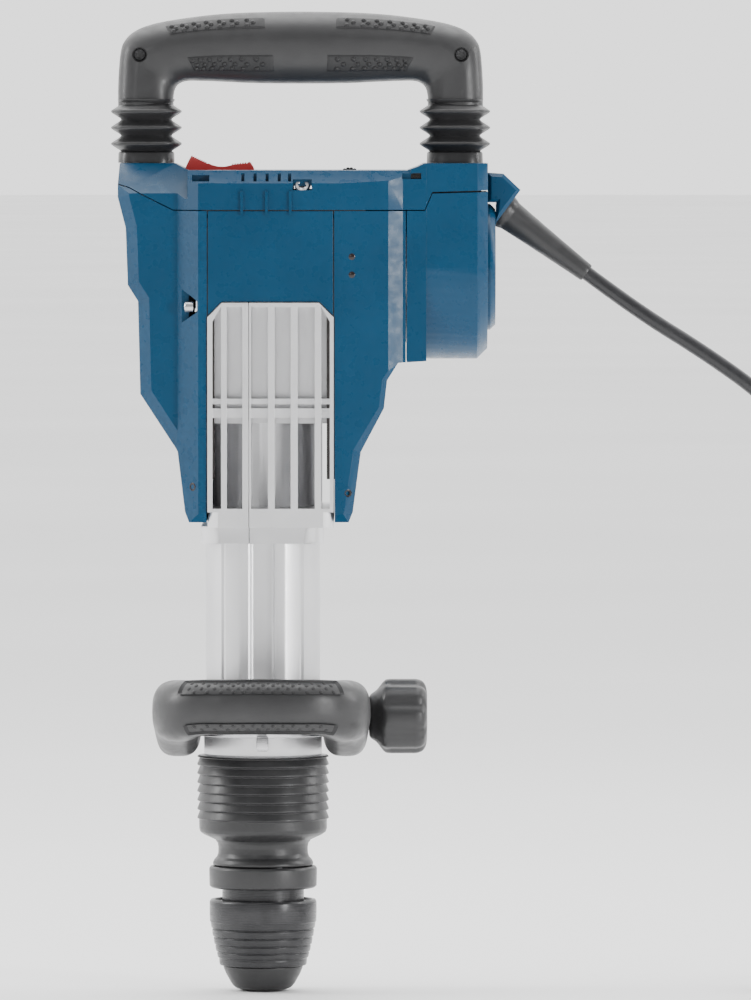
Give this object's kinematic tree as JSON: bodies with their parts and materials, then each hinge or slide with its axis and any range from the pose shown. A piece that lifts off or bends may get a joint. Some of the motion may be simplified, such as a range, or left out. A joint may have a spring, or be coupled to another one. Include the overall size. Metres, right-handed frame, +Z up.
{
  "type": "electric demolition hammer",
  "caption": "Upright electric demolition hammer: damped bow handle, blue housing with a silver grille, side handle, tool socket and mains lead.",
  "frame": {"origin": "centre of the tool socket's mouth, on the hammer axis", "axes": "+Z up the hammer axis from the tool socket to the main handle; +X towards the motor and the cord; -Y towards the front, where the side handle's grip is"},
  "size_m": [0.5408, 0.2954, 0.5705],
  "materials": {
    "blue_plastic": "satin",
    "dark_plastic": "matte",
    "red_plastic": "satin",
    "soft_grip": "matte",
    "rubber": "matte",
    "cast_aluminium": "satin",
    "steel": "satin",
    "dark_steel": "satin",
    "copper": "satin",
    "brass": "satin",
    "carbon": "matte",
    "cord_sheath": "matte",
    "webbing": "matte"
  },
  "bodies": {
    "housing": {"front_boot": "rubber", "front_housing": "cast_aluminium", "holder_bush": "brass", "barrel_housing": "cast_aluminium", "hammer_tube": "steel", "gear_housing_left": "cast_aluminium", "gear_housing_right": "cast_aluminium", "bearing_flange": "cast_aluminium", "crankshaft_bearings": "steel", "motor_bearings": "steel", "stator_core": "steel", "field_coils": "copper", "carbon_brushes": "carbon", "brush_holders": "brass", "top_cover": "blue_plastic", "left_cover": "blue_plastic", "service_panels": "blue_plastic", "right_cover": "blue_plastic", "motor_housing": "blue_plastic", "motor_end_cap": "blue_plastic", "housing_screws": "steel", "switch_module": "dark_plastic", "electronics_module": "dark_plastic", "handle_bellows": "rubber", "handle_springs": "steel", "cord_guard": "blue_plastic", "cord_boot": "rubber", "cord_lead": "cord_sheath", "cord_coil": "cord_sheath", "cord_tail": "cord_sheath", "cord_tie": "webbing", "plug": "rubber"},
    "main_handle": {"handle_front_shell": "dark_plastic", "handle_rear_shell": "dark_plastic", "handle_screws": "steel", "handle_guide_posts": "steel"},
    "rocker": {"rocker_switch": "red_plastic"},
    "speed_dial": {"speed_dial": "dark_plastic"},
    "armature": {"armature_shaft": "steel", "armature_core": "steel", "armature_windings": "copper", "cooling_fan": "dark_plastic", "motor_pinion": "steel"},
    "crank": {"crank_gear": "steel", "crankshaft": "steel"},
    "piston": {"piston": "steel", "wrist_pin": "steel"},
    "connecting_rod": {"connecting_rod": "steel", "crank_pin": "steel"},
    "striker": {"striker": "steel"},
    "impact_bolt": {"impact_bolt": "steel"},
    "tool_holder": {"tool_holder": "dark_steel", "locking_rollers": "steel", "dust_cap": "rubber", "locking_sleeve_spring": "steel"},
    "locking_sleeve": {"locking_sleeve": "dark_steel"},
    "adjusting_ring": {"adjusting_ring": "dark_plastic"},
    "side_handle": {"aux_handle": "dark_plastic", "clamp_band": "steel"},
    "clamp_knob": {"clamp_knob": "dark_plastic"}
  },
  "joints": [
    {"name": "handle_damping", "type": "slide", "parent": "housing", "child": "main_handle", "axis": [0, 0, 1], "range_m": [-0.01, 0], "stiffness_N_per_m": 12000, "deforming": ["handle_bellows", "handle_springs"]},
    {"name": "switch_rock", "type": "hinge", "parent": "housing", "child": "rocker", "pos_m": [-0.024, 0, 0.473], "axis": [0, -1, 0], "range_deg": [0, 14]},
    {"name": "speed_dial_turn", "type": "hinge", "parent": "housing", "child": "speed_dial", "pos_m": [0.0505, 0, 0.4726], "axis": [0, 1, 0], "range_deg": [-120, 120]},
    {"name": "motor_spin", "type": "hinge", "parent": "housing", "child": "armature", "pos_m": [0, 0, 0.422], "axis": [1, 0, 0], "continuous": true},
    {"name": "crank_spin", "type": "hinge", "parent": "housing", "child": "crank", "pos_m": [0, 0, 0.377], "axis": [1, 0, 0], "continuous": true},
    {"name": "piston_slide", "type": "slide", "parent": "housing", "child": "piston", "axis": [0, 0, 1], "range_m": [0, 0.04]},
    {"name": "rod_swing", "type": "hinge", "parent": "piston", "child": "connecting_rod", "pos_m": [0, 0, 0.279], "axis": [1, 0, 0], "range_deg": [-14.9, 14.9]},
    {"name": "striker_slide", "type": "slide", "parent": "housing", "child": "striker", "axis": [0, 0, 1], "range_m": [0, 0.03]},
    {"name": "impact_bolt_slide", "type": "slide", "parent": "housing", "child": "impact_bolt", "axis": [0, 0, 1], "range_m": [0, 0.008]},
    {"name": "holder_turn", "type": "hinge", "parent": "housing", "child": "tool_holder", "pos_m": [0, 0, 0.06], "axis": [0, 0, 1], "continuous": true},
    {"name": "sleeve_slide", "type": "slide", "parent": "tool_holder", "child": "locking_sleeve", "axis": [0, 0, 1], "range_m": [0, 0.0045], "stiffness_N_per_m": 1500, "deforming": ["locking_sleeve_spring"]},
    {"name": "ring_slide", "type": "slide", "parent": "tool_holder", "child": "adjusting_ring", "axis": [0, 0, -1], "range_m": [0, 0.002], "stiffness_N_per_m": 1500},
    {"name": "side_handle_turn", "type": "hinge", "parent": "housing", "child": "side_handle", "pos_m": [0, 0, 0.163], "axis": [0, 0, 1], "continuous": true},
    {"name": "clamp_knob_turn", "type": "hinge", "parent": "side_handle", "child": "clamp_knob", "pos_m": [0.08, -0.0475, 0.1625], "axis": [1, 0, 0], "continuous": true}
  ],
  "couplings": [
    {"joint": "crank_spin", "follows": "motor_spin", "ratio": -0.125}
  ]
}
